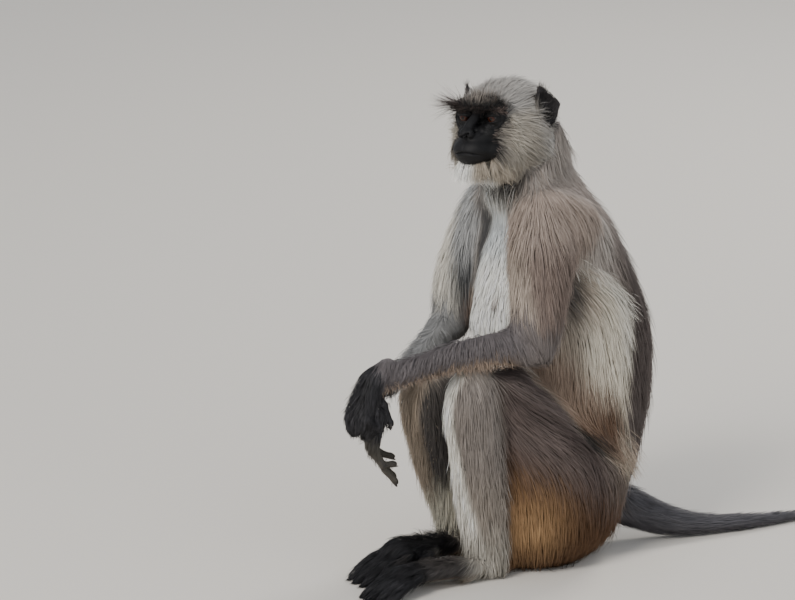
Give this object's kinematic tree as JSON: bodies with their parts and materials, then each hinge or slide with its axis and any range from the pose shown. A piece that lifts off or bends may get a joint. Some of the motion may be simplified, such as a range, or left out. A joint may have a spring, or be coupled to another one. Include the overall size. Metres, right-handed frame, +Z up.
{
  "type": "monkey model",
  "caption": "Life-size still model of a grey langur monkey sitting upright on its rump, knees drawn up, forearms resting on the knees, head turned to its left, long tail on the ground.",
  "frame": {"origin": "middle of the flat under the rump, on the floor the animal sits on", "axes": "+Z up; -Y the way the chest, knees and feet face; +X the animal's left; the tail runs out towards +Y"},
  "size_m": [0.3651, 0.9559, 0.5936],
  "materials": {
    "grey_coat": "long silky grey-brown hair, cream on the head, chest and belly, dark slate on the back and tail",
    "black_skin": "matte black bare skin with short black hair",
    "eye": "wet, glossy, dark red-brown iris"
  },
  "bodies": {
    "root": {"head": "grey_coat", "eye_left": "eye", "eye_right": "eye", "ear_left": "black_skin", "ear_right": "black_skin", "neck": "grey_coat", "chest": "grey_coat", "belly": "grey_coat", "upper_arm_left": "grey_coat", "upper_arm_right": "grey_coat", "forearm_left": "grey_coat", "forearm_right": "grey_coat", "hand_left": "black_skin", "hand_right": "black_skin", "thigh_left": "grey_coat", "thigh_right": "grey_coat", "lower_leg_left": "grey_coat", "lower_leg_right": "grey_coat", "foot_left": "black_skin", "foot_right": "black_skin", "tail_root": "grey_coat", "tail_middle": "grey_coat", "tail_lower": "grey_coat", "tail_tip": "grey_coat"}
  },
  "joints": []
}
